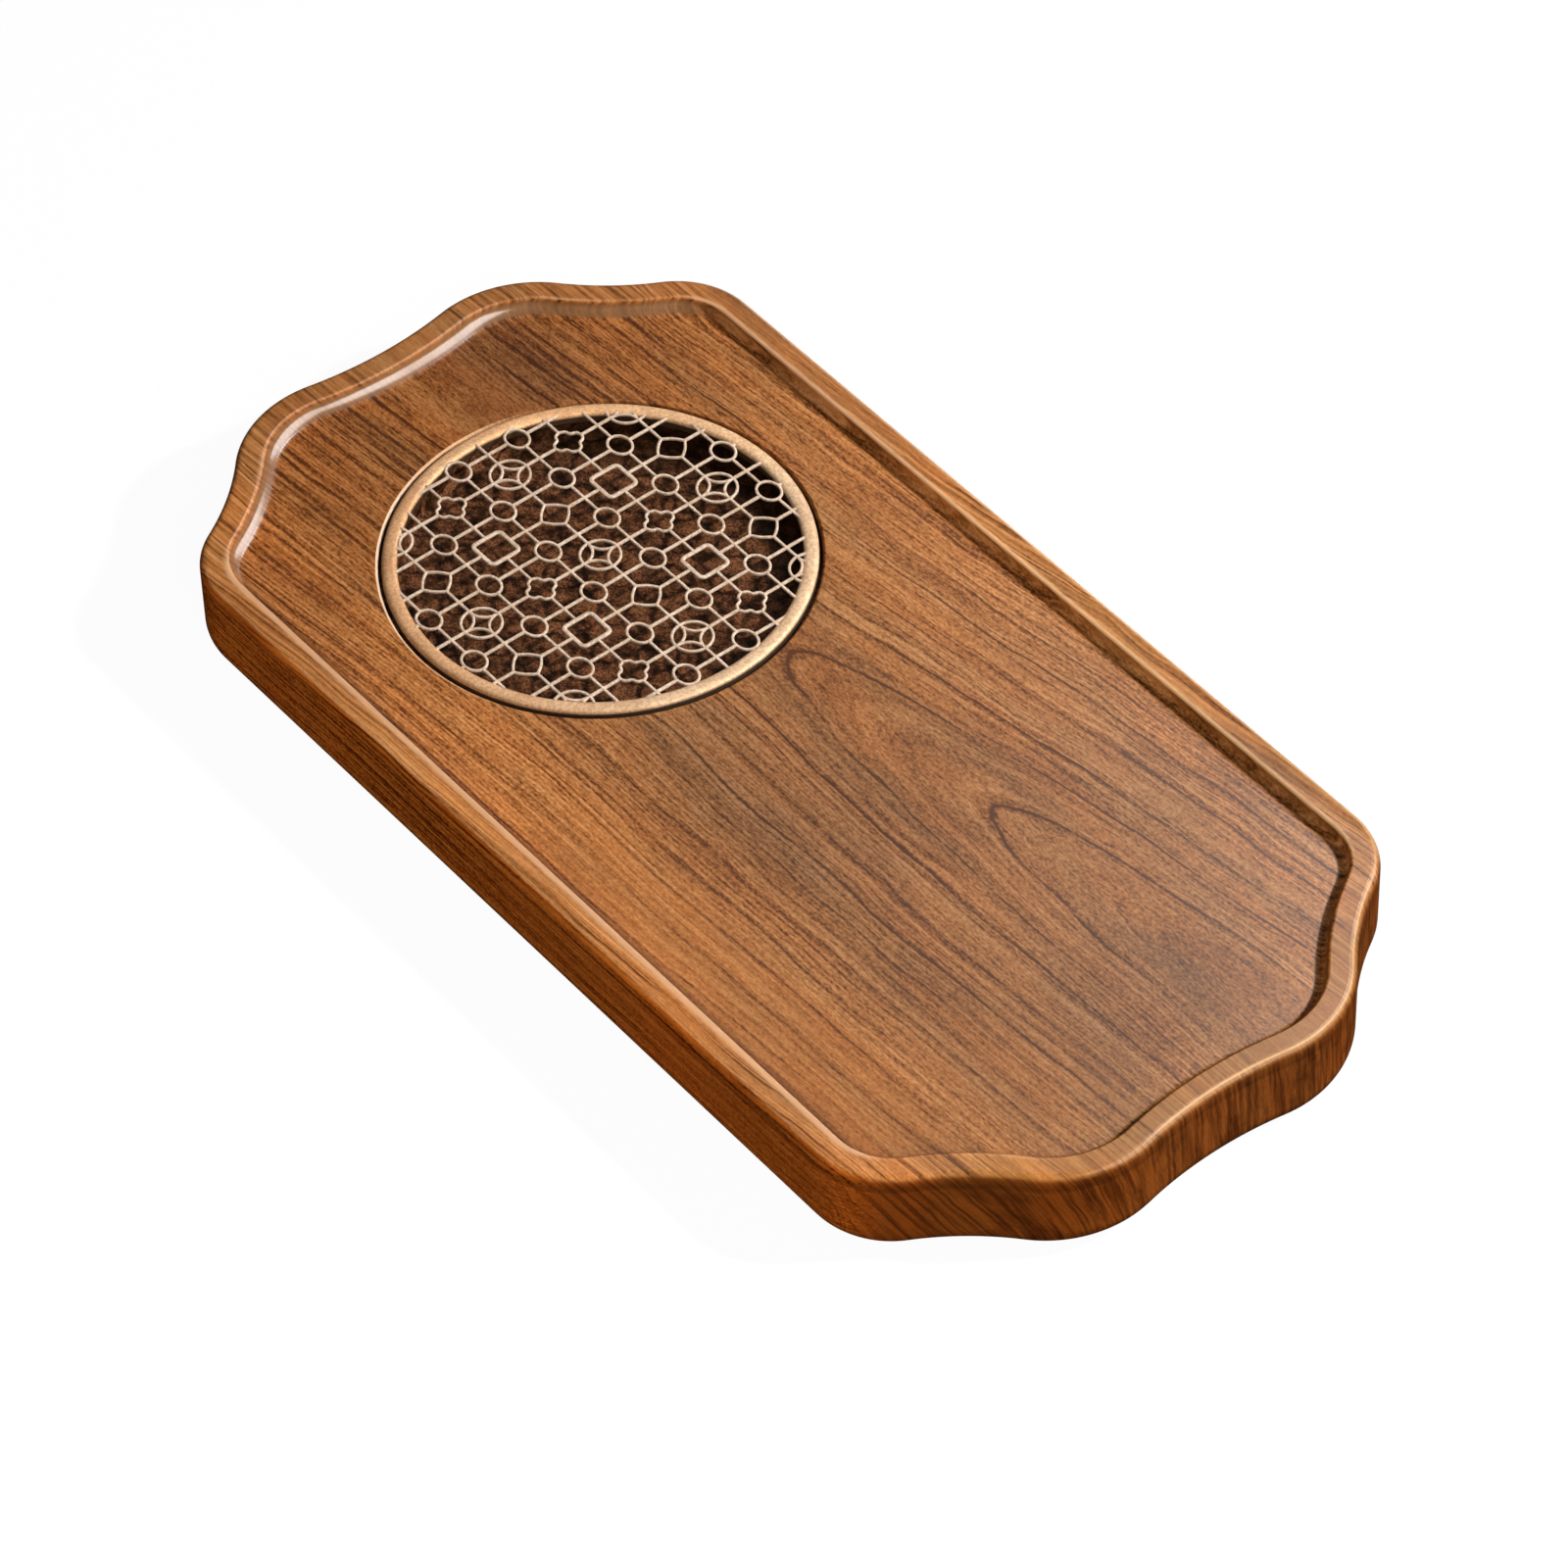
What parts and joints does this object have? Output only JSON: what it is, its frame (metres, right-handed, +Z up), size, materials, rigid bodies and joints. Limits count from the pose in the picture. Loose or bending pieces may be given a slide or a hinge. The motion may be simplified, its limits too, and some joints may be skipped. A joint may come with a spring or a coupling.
{
  "type": "tea tray",
  "caption": "Long wooden tea tray with a raised rim, scalloped ends and a round lift-out metal lattice grille set in its floor over a lift-out water dish.",
  "frame": {"origin": "on the table, under the middle of the board", "axes": "+X along the board, away from the grille; +Y across it; +Z up"},
  "size_m": [0.4, 0.2024, 0.033],
  "materials": {
    "walnut": "satin oiled, grain along X",
    "bronze": "satin champagne bronze",
    "pale_bronze": "satin pale bronze",
    "brown_resin": "matte, fine grained",
    "soft_pad": "matte"
  },
  "bodies": {
    "board": {"tray_board": "walnut", "foot_front_left": "soft_pad", "foot_front_right": "soft_pad", "foot_back_left": "soft_pad", "foot_back_right": "soft_pad"},
    "dish": {"water_dish": "brown_resin"},
    "grille": {"grille_ring": "bronze", "grille_lattice": "pale_bronze"}
  },
  "joints": [
    {"name": "dish_lift", "type": "slide", "parent": "board", "child": "dish", "axis": [0, 0, 1], "range_m": [0, 0.045]},
    {"name": "grille_lift", "type": "slide", "parent": "dish", "child": "grille", "axis": [0, 0, 1], "range_m": [0, 0.035]}
  ]
}
